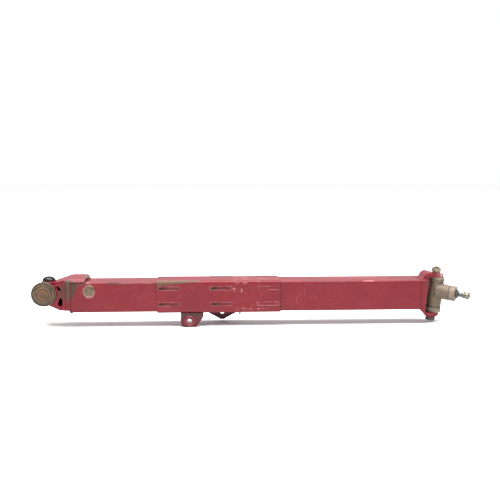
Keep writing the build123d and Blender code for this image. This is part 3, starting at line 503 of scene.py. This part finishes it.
def cast_steel(name, colour, light, dark, seed):
    """Bare forged steel under a dusty brown film, darker in random patches and lighter on its edges."""
    metal = Finish(name, colour, 0.55, metallic=0.1, specular=0.3)
    metal.layer(metal.noise(18, 5, 0.6, (1, 1, 1.6), seed).step(0.38, 0.68), dark, 0.68, strength=0.7)
    metal.layer(metal.noise(6, 6, 0.7, (1, 1, 1), seed + 1).step(0.5, 0.7), light, 0.6, strength=0.45)
    metal.layer(metal.noise(2.2, 3, 0.7, (1, 1, 1), seed + 2).step(0.62, 0.72), DARK_STEEL, 0.8, strength=0.5)
    metal.layer(metal.edges(1.4) * metal.noise(7, 3, seed=seed + 3).step(0.35, 0.6), light, 0.4, strength=0.7)
    metal.layer(metal.facing(2).step(0.35, 0.9), light, 0.7, strength=0.4)
    along_pin = metal.z + (metal.x - SEAM_X) * SEAM_SLOPE
    for height in SEAM_HEIGHTS:
        line = along_pin.between(height - 1.0, height + 1.0, 0.5)
        line = line * metal.noise(9, 4, seed=seed + 6).step(0.3, 0.42)
        metal.layer(line, BLACK_SEAM, 0.8, strength=0.85)
    metal.relief(metal.noise(1.4, 4, 0.7, seed=seed + 4), 0.12)
    metal.relief(metal.noise(9, 3, seed=seed + 5), 0.3)
    return metal.done()


def plated(name, colour, dirt, seed, roughness=0.3, amount=0.5):
    """Zinc plate: bright, cloudy, with patches of brown dirt."""
    metal = Finish(name, colour, roughness, metallic=0.9)
    cloud = tuple(c * 0.55 for c in colour)
    metal.layer(metal.noise(5, 4, seed=seed).step(0.35, 0.7), cloud, 0.45, strength=0.5)
    metal.layer(metal.noise(3, 5, 0.7, seed=seed + 1).step(0.5, 0.64), dirt, 0.75, 0.1, strength=amount)
    metal.relief(metal.noise(0.8, 3, seed=seed + 2), 0.03)
    return metal.done()


def turned_metal(name, colour, roughness, seed, metallic=0.95):
    """Machined steel with a faint lay and oil film."""
    metal = Finish(name, colour, roughness, metallic=metallic)
    film = tuple(c * 0.7 for c in colour)
    metal.layer(metal.noise(14, 3, seed=seed).step(0.4, 0.7), film, roughness + 0.1, strength=0.5)
    metal.relief(metal.noise(0.5, 2, 0.5, (0.2, 3, 3), seed + 1), 0.02)
    return metal.done()


def soft_plastic(name, colour, roughness, seed):
    """Rubber or plastic with a fine grain and dust."""
    plastic = Finish(name, colour, roughness)
    dust = tuple(c * 2.2 + 0.02 for c in colour)
    plastic.layer(plastic.noise(10, 4, seed=seed).step(0.45, 0.7), dust, roughness + 0.15, strength=0.4)
    plastic.relief(plastic.noise(0.9, 3, seed=seed + 1), 0.04)
    return plastic.done()


def cap_plastic():
    """Black domed cap: satin, dusty on top, with a red tint of overspray at its foot."""
    plastic = Finish("cap_plastic", (0.003, 0.0045, 0.005), 0.25, specular=0.2)
    foot = span("grease_cap")[0].z
    plastic.layer(plastic.z.step(foot + 3.5, foot + 1), (0.16, 0.02, 0.03), 0.4, strength=0.7)
    plastic.layer(plastic.noise(5, 5, 0.7, seed=71).step(0.5, 0.7), (0.025, 0.028, 0.026), 0.6, strength=0.5)
    plastic.relief(plastic.noise(1.2, 3, seed=72), 0.05)
    return plastic.done()


HUB_SHADE_RINGS = ((16.6, 0.9), (23.2, 0.6), (29.0, 0.8))
HUB_HIGHLIGHT_ARCS = ((18.4, 0.8, 86), (26.5, 0.9, 87))


def hub_steel():
    """The hub: oily brown rings with painted shade in dark grooves at their steps and painted highlight arcs,
    scraped to tan where the mating arm has rubbed.
    """
    metal = Finish("hub_steel", (0.04, 0.024, 0.013), 0.5, specular=0.25)
    low, high = span("pivot_hub")
    middle = (low + high) / 2
    face = metal.y.step(low.y + 5, low.y + 1)
    metal.layer(face, (0.1, 0.045, 0.023), 0.55, strength=0.85)
    oil = metal.noise(14, 4, 0.6, (2.2, 1, 0.7), 81).step(0.42, 0.64)
    metal.layer(oil, (0.025, 0.017, 0.009), 0.5, strength=0.7)
    scraped = metal.edges(1.3) * metal.noise(16, 3, seed=82).step(0.38, 0.56)
    metal.layer(scraped, (0.2, 0.13, 0.065), 0.35, strength=0.8)
    metal.layer(metal.noise(4, 5, 0.7, seed=83).step(0.55, 0.68), (0.06, 0.05, 0.035), 0.7, strength=0.5)
    away = (metal.x - middle.x).distance(metal.z - middle.z)
    # Painted shade: dark rings at the steps.
    for radius, wide in HUB_SHADE_RINGS:
        groove = away.between(radius - wide, radius + wide, 0.5)
        groove = groove * metal.noise(20, 3, seed=85 + radius).step(0.3, 0.45)
        metal.layer(groove, (0.008, 0.006, 0.004), 0.6, strength=0.85)
    # Painted highlights: pale arcs at the step edges.
    for radius, wide, seed in HUB_HIGHLIGHT_ARCS:
        arc = away.between(radius - wide, radius + wide, 0.5) * metal.noise(26, 3, seed=seed).step(0.45, 0.6)
        metal.layer(arc, (0.17, 0.11, 0.06), 0.4, strength=0.75)
    metal.relief(metal.noise(1.2, 4, 0.7, seed=84), 0.1)
    return metal.done()


PATCH_X, PATCH_Z, PATCH_R = -350.5, 18.0, 17.0
PATCH_PITS = ((-359.5, 21.0), (-340.5, 25.0))


def patch_filler():
    """Grey-brown old filler with a pinkish rim and two rusty pits."""
    filler = Finish("patch_filler", (0.07, 0.058, 0.038), 0.75, specular=0.1)
    filler.layer(filler.noise(9, 5, 0.65, seed=231).step(0.42, 0.64), (0.13, 0.09, 0.065), strength=0.8)
    away = (filler.x - PATCH_X).distance(filler.z - PATCH_Z)
    rim = (away + filler.noise(6, 4, seed=232) * 5.0).step(PATCH_R - 1.5, PATCH_R + 1.0)
    filler.layer(rim, (0.2, 0.1, 0.085), 0.7, strength=0.8)
    for x, z in PATCH_PITS:
        pit = (filler.x - x).distance(filler.z - z).step(3.6, 1.6)
        filler.layer(pit, (0.04, 0.02, 0.016), 0.8, strength=0.9)
    filler.relief(filler.noise(1.6, 4, 0.7, seed=233), 0.15)
    return filler.done()


# Cast and forged steel: the film's colour, the lighter and the darker one, and the seed
CAST_COLOURS = {
    "block_steel": ((0.085, 0.06, 0.04), (0.145, 0.108, 0.075), (0.04, 0.032, 0.018), 101),
    "washer_steel": ((0.15, 0.12, 0.092), (0.3, 0.25, 0.2), (0.07, 0.052, 0.038), 111),
    "collar_steel": ((0.11, 0.083, 0.062), (0.16, 0.122, 0.097), (0.065, 0.042, 0.03), 121),
}


def make_materials():
    """All finishes by name."""
    return {
        "enamel": enamel("enamel"),
        # Slot pads: a darker base colour and darker left ends, painted shade in the sunk slots.
        "slot_enamel_painted_shade": enamel("slot_enamel_painted_shade", [slot_shadow_marks], DEEP_CRIMSON),
        # Lugs: a darker base colour, painted shade from lying under the sleeve.
        "lug_enamel_painted_shade": enamel("lug_enamel_painted_shade", [lug_grime_and_shadow], (0.05, 0.002, 0.005)),
        "bush_enamel": enamel("bush_enamel", [bush_marks], (0.09, 0.004, 0.01)),
        "tube_enamel": enamel("tube_enamel", [tube_marks]),
        "sleeve_enamel": enamel("sleeve_enamel", [sleeve_marks]),
        "yoke_enamel": enamel("yoke_enamel", [yoke_marks]),
        "head_enamel": enamel("head_enamel", [head_marks]),
        **{name: cast_steel(name, *colours) for name, colours in CAST_COLOURS.items()},
        "hub_steel": hub_steel(),
        "zinc": plated("zinc", (0.13, 0.125, 0.1), (0.025, 0.018, 0.012), 141, 0.4, 0.5),
        "nut_zinc": plated("nut_zinc", (0.22, 0.18, 0.13), (0.06, 0.035, 0.018), 151, 0.4, 0.6),
        "neck_steel": plated("neck_steel", (0.07, 0.072, 0.068), (0.02, 0.018, 0.016), 161, 0.4, 0.4),
        "dark_steel": turned_metal("dark_steel", (0.045, 0.043, 0.041), 0.45, 171, 0.5),
        "cylinder_steel": turned_metal("cylinder_steel", (0.5, 0.5, 0.52), 0.25, 181),
        "chrome": turned_metal("chrome", (0.8, 0.8, 0.82), 0.08, 191, 1.0),
        "bronze": turned_metal("bronze", (0.6, 0.4, 0.18), 0.35, 201),
        "rubber": soft_plastic("rubber", (0.025, 0.025, 0.027), 0.7, 211),
        "nylon": soft_plastic("nylon", (0.7, 0.67, 0.58), 0.5, 221),
        "cap_plastic": cap_plastic(),
        "patch_filler": patch_filler(),
        "bead_enamel": Finish("bead_enamel", DEEP_CRIMSON, 0.4, specular=0.2).done(),
        # A near-black finish that stands in for shade, on the sheet inside the head.
        "shade_black": Finish("shade_black", (0.006, 0.004, 0.004), 0.9, specular=0.05).done(),
    }


SLOT_FINISH = {
    "red_paint": "enamel",
    "seal_rubber": "rubber",
    "bearing_bronze": "bronze",
    "worn_cast_steel": "block_steel",
    "zinc_steel": "zinc",
    "dark_steel": "dark_steel",
    "cylinder_steel": "cylinder_steel",
    "hard_chrome": "chrome",
    "black_plastic": "cap_plastic",
    "nylon": "nylon",
}
NODE_FINISH = {
    "outer_tube": "tube_enamel",
    "inner_tube": "tube_enamel",
    "guide_sleeve": "sleeve_enamel",
    "plug_welds": "sleeve_enamel",
    "base_yoke": "yoke_enamel",
    "pivot_hub": "hub_steel",
    "lug_bush": "bush_enamel",
    "guide_pads_front": "slot_enamel_painted_shade",
    "guide_pads_back": "slot_enamel_painted_shade",
    "guide_pads_top": "slot_enamel_painted_shade",
    "guide_pads_bottom": "slot_enamel_painted_shade",
    "lower_thrust_washer": "washer_steel",
    "upper_thrust_washer": "washer_steel",
    "branch_collar": "collar_steel",
    "king_pin_nut": "nut_zinc",
    "king_pin_washer": "nut_zinc",
    "inlet_spindle": "neck_steel",
    "head_end_plate": "head_enamel",
}


def dress(piece, finish):
    """Give every material slot of an object one finish."""
    if not piece.material_slots:
        piece.data.materials.append(FINISH[finish])
    for slot in piece.material_slots:
        slot.material = FINISH[finish]


FINISH = make_materials()
for row in frame["record"]["subparts"]:
    dress(NODES[row["node"]], NODE_FINISH.get(row["node"], SLOT_FINISH[row["material_slot"]]))

# ---------------------------------------------------------------- pieces


def finish_piece(piece, body, finish, smooth=True):
    """Give a piece its one material, and let it ride on a body."""
    mesh = piece.data
    mesh.materials.clear()
    mesh.materials.append(FINISH[finish])
    if smooth:
        mesh.polygons.foreach_set("use_smooth", [True] * len(mesh.polygons))
    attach(piece, body)


def linked(name, shape):
    """A new object in the scene from a bmesh, which is freed."""
    mesh = bpy.data.meshes.new(name)
    shape.to_mesh(mesh)
    shape.free()
    piece = bpy.data.objects.new(name, mesh)
    bpy.context.scene.collection.objects.link(piece)
    return piece


def closed_piece(name, shape, body, finish, smooth=True):
    """A piece from a bmesh with its faces turned outward."""
    bmesh.ops.recalc_face_normals(shape, faces=shape.faces)
    finish_piece(linked(name, shape), body, finish, smooth)


def apply_modifiers(piece):
    """Put the piece's mesh with its modifiers applied in place of its old mesh."""
    depsgraph = bpy.context.evaluated_depsgraph_get()
    mesh = bpy.data.meshes.new_from_object(piece.evaluated_get(depsgraph), depsgraph=depsgraph)
    piece.modifiers.clear()
    piece.data = mesh


def forged(name, nodes, body, finish, voxel, rounds, lump):
    """One lump of forged or welded metal in place of CAD nodes: joined, softened and slightly uneven."""
    shape = bmesh.new()
    for node in nodes:
        shape.from_mesh(NODES[node].data)
    piece = linked(name, shape)
    remesh = piece.modifiers.new("skin", "REMESH")
    remesh.mode = "VOXEL"
    remesh.voxel_size = voxel * MM
    soften = piece.modifiers.new("soften", "SMOOTH")
    soften.factor = 0.5
    soften.iterations = rounds
    apply_modifiers(piece)
    normals = [vertex.normal.copy() for vertex in piece.data.vertices]
    for vertex, normal in zip(piece.data.vertices, normals):
        at = vertex.co / MM
        push = noise.noise(at / 14) * lump + noise.noise(at / 4) * lump * 0.35
        vertex.co += normal * (push - 0.1 * lump) * MM
    finish_piece(piece, body, finish)
    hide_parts(*nodes)


HEAD_NODES = [
    "head_end_plate",
    "head_top_strap",
    "head_bottom_strap",
    "head_front_cheek",
    "head_back_cheek",
    "head_eye",
]
forged("yoke_forging", ["base_yoke"], "base", "yoke_enamel", 1.2, 5, 0.35)
forged("swivel_casting", ["swivel_block"], "knuckle", "block_steel", 0.9, 30, 0.4)
forged(
    "eye_head_weldment",
    HEAD_NODES,
    "rod",
    "head_enamel",
    1.2,
    5,
    0.4,
)
forged("linkage_lug_plate", ["linkage_lug"], "base", "lug_enamel_painted_shade", 0.9, 3, 0.25)
forged("stay_lug_plate", ["stay_lug"], "base", "lug_enamel_painted_shade", 1.0, 3, 0.25)


# ---------------------------------------------------------------- welds, thread, flaked patch

TUBE_CORNER = 4.6
CORNER_STEPS = 6
BEAD_STEP = 0.8
BEAD_RIPPLE = 2.4
BEAD_SIDES = 10


def round_square(x, half, corner):
    """Points round a square section at one station, arcs at its corners, in millimetres."""
    points = []
    for quarter, (side_y, side_z) in enumerate(((1, 1), (-1, 1), (-1, -1), (1, -1))):
        for i in range(CORNER_STEPS + 1):
            angle = math.radians(90 * (quarter + i / CORNER_STEPS))
            y = side_y * (half - corner) + corner * math.cos(angle)
            z = side_z * (half - corner) + corner * math.sin(angle)
            points.append(Vector((x, y, z)))
    return points + points[:1]


def bead(name, path, radius, body):
    """A weld bead along a path: a lumpy run with the ripples of its pools."""
    stations = []
    for start, end in zip(path, path[1:]):
        along = end - start
        count = max(1, round(along.length / BEAD_STEP))
        stations += [(start.lerp(end, i / count), along.normalized()) for i in range(count)]
    stations.append((path[-1], (path[-1] - path[-2]).normalized()))
    shape = bmesh.new()
    rings = []
    for i, (at, along) in enumerate(stations):
        across = along.orthogonal().normalized()
        side = along.cross(across)
        taper = min(1.0, (i + 1) / 3, (len(stations) - i) / 3)
        ripple = 0.1 * math.sin(i * BEAD_STEP / BEAD_RIPPLE * math.tau)
        swell = radius * taper * (1 + ripple + 0.25 * noise.noise(at / 5))
        ring = []
        for k in range(BEAD_SIDES):
            angle = math.tau * k / BEAD_SIDES
            out = across * math.cos(angle) + side * math.sin(angle)
            ring.append(shape.verts.new(place(*(at + out * swell))))
        rings.append(ring)
    for first, second in zip(rings, rings[1:]):
        turn = min(range(BEAD_SIDES), key=lambda k: (second[k].co - first[0].co).length)
        for k in range(BEAD_SIDES):
            after = (k + 1) % BEAD_SIDES
            facing = second[(k + turn) % BEAD_SIDES]
            facing_after = second[(k + 1 + turn) % BEAD_SIDES]
            shape.faces.new((first[k], first[after], facing_after, facing))
    shape.faces.new(rings[0])
    shape.faces.new(rings[-1])
    closed_piece(name, shape, body, "bead_enamel")


bead("sleeve_end_weld", round_square(SLEEVE_HIGH.x, OUTER_HIGH.z + 0.4, TUBE_CORNER), 1.9, "base")
bead("yoke_weld", round_square(OUTER_HIGH.x, OUTER_HIGH.z - 0.5, TUBE_CORNER), 1.5, "base")
bead("end_plate_weld", round_square(INNER_LOW.x, INNER_HIGH.z - 0.6, TUBE_CORNER), 1.7, "rod")


def strap_weld():
    """The bead round the top strap, on the top face of the sliding tube."""
    start = INNER_LOW.x
    end = STRAP_HIGH.x
    top = INNER_HIGH.z
    path = (
        (start, -40.2, top + 0.3),
        (end - 6, -39.2, top + 0.3),
        (end - 2, -35, top + 0.5),
        (end + 0.5, 35, top + 0.5),
        (end - 3, 39.5, top + 0.3),
        (start, 40.2, top + 0.3),
    )
    bead("strap_weld", [Vector(point) for point in path], 2.4, "rod")


strap_weld()
DRIP = ((-402, -39.5, -34), (-401, -39.8, -39), (-399, -39, -42.3), (-395.5, -38, -41.5))
bead("corner_weld_drip", [Vector(point) for point in DRIP], 2.6, "rod")


def lug_weld(name, low, high, y):
    """The straight bead of a lug under the sleeve, at one y."""
    z = SLEEVE_LOW.z - 0.4
    bead(name, [Vector((low.x + 1, y, z)), Vector((high.x - 1, y, z))], 2.4, "base")


lug_weld("linkage_lug_weld", LUG_LOW, LUG_HIGH, LUG_HIGH.y + 0.6)
lug_weld("stay_lug_weld", STAY_LOW, STAY_HIGH, STAY_LOW.y - 0.6)
lug_weld("stay_lug_back_weld", STAY_LOW, STAY_HIGH, STAY_HIGH.y - 0.4)

WEB_CORNER = (586.2, 25.4)
for name, side in (("web_front_weld", -1), ("web_back_weld", 1)):
    corner_x, corner_y = WEB_CORNER
    foot = Vector((corner_x - 1, side * corner_y, 8))
    head = Vector((corner_x, side * corner_y, 49))
    bead(name, [foot, head], 2.8, "base")


def shade_sheet():
    """A black sheet between the cheeks: painted shade that darkens their windows."""
    outline = ((-440, -27), (-403, -27), (-403, 38), (-440, 28))
    shape = bmesh.new()
    rows = [[shape.verts.new(place(x, y, z)) for x, z in outline] for y in (-1.5, 1.5)]
    shape.faces.new(rows[0])
    shape.faces.new(rows[1])
    for k in range(4):
        shape.faces.new((rows[0][k], rows[0][k - 1], rows[1][k - 1], rows[1][k]))
    closed_piece("cheek_shade_sheet", shape, "rod", "shade_black", smooth=False)


shade_sheet()


SWIVEL = JOINTS["knuckle_swivel"]
PIN_AT = Vector(SWIVEL["pos_m"])
PIN_AXIS = Vector(SWIVEL["axis"]).normalized()
THREAD_START, THREAD_END = 74.2, 76.8
THREAD_ROOT, THREAD_CREST = 7.0, 7.9
THREAD_PITCH = 2.0
THREAD_STEPS = 40


def king_pin_thread():
    """The ridge of the screw thread on the king pin's free end, in millimetres along the pin."""
    across = PIN_AXIS.orthogonal().normalized()
    side = PIN_AXIS.cross(across)
    foot = THREAD_ROOT - 0.3
    count = int((THREAD_END - THREAD_START) / THREAD_PITCH * THREAD_STEPS)
    shape = bmesh.new()
    sections = []
    for i in range(count + 1):
        angle = math.tau * i / THREAD_STEPS
        out = across * math.cos(angle) + side * math.sin(angle)
        middle = THREAD_START + THREAD_PITCH * i / THREAD_STEPS
        fade = min(1.0, i / 12, (count - i) / 12)
        tip = THREAD_ROOT + (THREAD_CREST - THREAD_ROOT) * fade
        section = []
        for radius, share in ((foot, -0.46), (tip, -0.08), (tip, 0.08), (foot, 0.46)):
            at = out * radius + PIN_AXIS * (middle + share * THREAD_PITCH)
            section.append(shape.verts.new(PIN_AT + at * MM))
        sections.append(section)
    for first, second in zip(sections, sections[1:]):
        for k in range(4):
            shape.faces.new((first[k], first[(k + 1) % 4], second[(k + 1) % 4], second[k]))
    shape.faces.new(sections[0])
    shape.faces.new(sections[-1])
    closed_piece("king_pin_thread", shape, "base", "dark_steel", smooth=False)


king_pin_thread()


def flaked_patch():
    """A patch of old filler on the front of the sliding tube, with a curled pale rim and two pits."""
    shape = bmesh.new()
    rings, spokes = 16, 96
    face_y = INNER_LOW.y
    grid = []
    for i in range(rings + 1):
        share = i / rings
        row = []
        for k in range(spokes):
            angle = math.tau * k / spokes
            out = Vector((math.cos(angle), math.sin(angle), 0))
            ragged = 0.16 * noise.noise(out * 1.4) + 0.07 * noise.noise(out * 5) - 0.1 * out.y
            reach = PATCH_R * (1 + ragged)
            x = PATCH_X + out.x * reach * share * 0.96
            z = PATCH_Z + out.y * reach * share * 1.04
            lip = 0.55 * math.exp(-((share - 0.86) / 0.09) ** 2)
            high = 0.3 + lip + 0.25 * noise.noise(Vector((x, z, 0)) / 3)
            for spot_x, spot_z in PATCH_PITS:
                high -= 0.3 * math.exp(-((x - spot_x) ** 2 + (z - spot_z) ** 2) / 5)
            row.append(shape.verts.new(place(x, face_y - (high if share < 1 else -0.1), z)))
        grid.append(row)
    for first, second in zip(grid, grid[1:]):
        for k in range(spokes):
            shape.faces.new((first[k], first[(k + 1) % spokes], second[(k + 1) % spokes], second[k]))
    bmesh.ops.remove_doubles(shape, verts=shape.verts, dist=1e-6)
    closed_piece("flaked_patch", shape, "rod", "patch_filler")


flaked_patch()

# ---------------------------------------------------------------- camera, floor and light

CAMERA_FROM_SLEEVE = (-67.4, -2458.0, 464.5)
PITCH_DOWN = 7.9
YAW_RIGHT = 3.61
ROLL = 0.2
LENS = 64.8


def make_camera():
    """The camera that sees the strut from the front, a little above it."""
    camera_data = bpy.data.cameras.new("camera")
    camera_data.lens = LENS
    camera_data.sensor_width = 36.0
    camera_data.clip_start = 0.05
    camera_data.clip_end = 50.0
    camera = bpy.data.objects.new("camera", camera_data)
    bpy.context.scene.collection.objects.link(camera)
    turn = (
        Matrix.Rotation(math.radians(-YAW_RIGHT), 4, "Z")
        @ Matrix.Rotation(math.radians(90 - PITCH_DOWN), 4, "X")
        @ Matrix.Rotation(math.radians(ROLL), 4, "Z")
    )
    camera.matrix_world = Matrix.Translation(place(*CAMERA_FROM_SLEEVE)) @ turn
    bpy.context.scene.camera = camera
    bpy.context.scene.view_settings.view_transform = "Standard"


def make_floor():
    """White paper floor under the strut."""
    mesh = bpy.data.meshes.new("floor")
    half = 6.0
    mesh.from_pydata(
        [(-half, -half, FLOOR_Z), (half, -half, FLOOR_Z), (half, half, FLOOR_Z), (-half, half, FLOOR_Z)],
        [],
        [(0, 1, 2, 3)],
    )
    floor = bpy.data.objects.new("floor", mesh)
    bpy.context.scene.collection.objects.link(floor)
    material = bpy.data.materials.new("floor_paper")
    material.use_nodes = True
    shader = material.node_tree.nodes["Principled BSDF"]
    shader.inputs["Base Color"].default_value = (0.9, 0.9, 0.9, 1)
    shader.inputs["Roughness"].default_value = 0.7
    mesh.materials.append(material)


def area_light(name, at, aim, size, power):
    """A rectangular softbox at a place, turned to where it aims."""
    data = bpy.data.lights.new(name, "AREA")
    data.shape = "RECTANGLE"
    data.size, data.size_y = size
    data.energy = power
    light = bpy.data.objects.new(name, data)
    bpy.context.scene.collection.objects.link(light)
    light.location = at
    light.rotation_mode = "QUATERNION"
    light.rotation_quaternion = (Vector(aim) - Vector(at)).to_track_quat("-Z", "Y")


def make_light():
    """Even white surroundings, and one softbox overhead."""
    world = bpy.data.worlds.new("studio")
    bpy.context.scene.world = world
    world.use_nodes = True
    background = world.node_tree.nodes["Background"]
    background.inputs["Color"].default_value = (1, 1, 1, 1)
    background.inputs["Strength"].default_value = 1.02
    area_light("top_softbox", (-0.1, -0.35, 2.0), (0, 0, 0), (2.6, 1.4), 185)


make_camera()
make_floor()
make_light()
